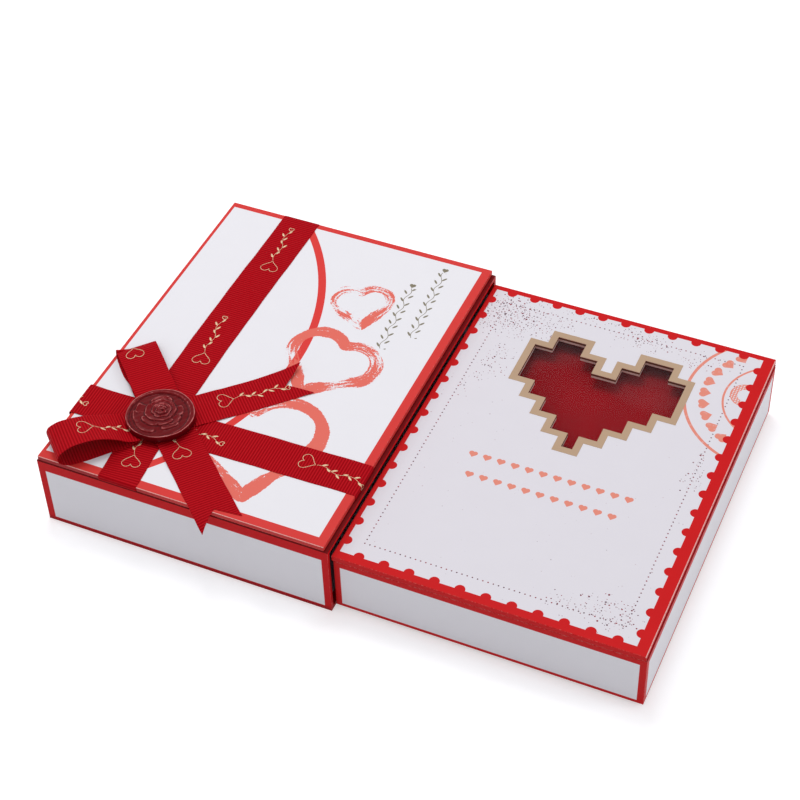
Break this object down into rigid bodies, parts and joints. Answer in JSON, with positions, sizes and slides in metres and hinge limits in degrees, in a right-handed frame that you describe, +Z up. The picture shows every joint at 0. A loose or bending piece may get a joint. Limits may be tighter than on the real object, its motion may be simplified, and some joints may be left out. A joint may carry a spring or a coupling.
{
  "type": "gift box",
  "caption": "Flat wrapped slipcase, open on one long side, with a bow and a wax seal on top, and a shallow tray that slides out under a hinged lid with a stepped heart window.",
  "frame": {"origin": "centre of the case's flat underside", "axes": "+X out of the open long side of the case, the way the tray slides out; +Y to the back along the long side; +Z up"},
  "size_m": [0.2834, 0.2026, 0.0508],
  "materials": {
    "greyboard": "matte",
    "window_edge_board": "matte",
    "case_print": "satin",
    "cover_print": "satin",
    "red_paper": "satin",
    "tray_print": "satin",
    "lid_print": "satin",
    "liner_paper": "matte",
    "collar_paper": "satin",
    "hinge_paper": "satin",
    "adhesive": "matte",
    "grosgrain": "satin",
    "wax": "gloss",
    "foam": "matte",
    "velvet": "matte",
    "gold_foil": "satin",
    "clear_film": "gloss"
  },
  "bodies": {
    "case": {"case_floor_board": "greyboard", "case_top_board": "greyboard", "case_front_board": "greyboard", "case_back_board": "greyboard", "case_spine_board": "greyboard", "case_wrap_paper": "case_print", "case_base_paper": "red_paper", "case_liner_paper": "liner_paper", "cover_glue_sheet": "adhesive", "cover_board": "greyboard", "cover_print_sheet": "cover_print", "ribbon_long": "grosgrain", "ribbon_cross": "grosgrain", "bow_loop_back": "grosgrain", "bow_loop_front": "grosgrain", "bow_tail_right": "grosgrain", "bow_tail_front": "grosgrain", "seal_glue_dot": "adhesive", "wax_seal": "wax"},
    "tray": {"tray_floor_board": "greyboard", "tray_front_wall": "greyboard", "tray_back_wall": "greyboard", "tray_fore_wall": "greyboard", "tray_spine_wall": "greyboard", "tray_wrap_paper": "tray_print", "tray_base_paper": "red_paper", "tray_collar": "collar_paper", "insert_platform": "greyboard", "insert_pad": "foam", "insert_cover": "velvet", "tray_hinge_strip": "hinge_paper"},
    "lid": {"lid_upper_board": "window_edge_board", "lid_lower_board": "window_edge_board", "lid_print_sheet": "lid_print", "lid_liner_paper": "liner_paper", "window_gold_frame": "gold_foil", "window_film": "clear_film", "lid_hinge_strip": "hinge_paper"}
  },
  "joints": [
    {"name": "tray_slide", "type": "slide", "parent": "case", "child": "tray", "axis": [1, 0, 0], "range_m": [-0.1401, 0.06]},
    {"name": "lid_hinge", "type": "hinge", "parent": "tray", "child": "lid", "pos_m": [0.2121, 0, 0.03115], "axis": [0, 1, 0], "range_deg": [0, 180]}
  ]
}
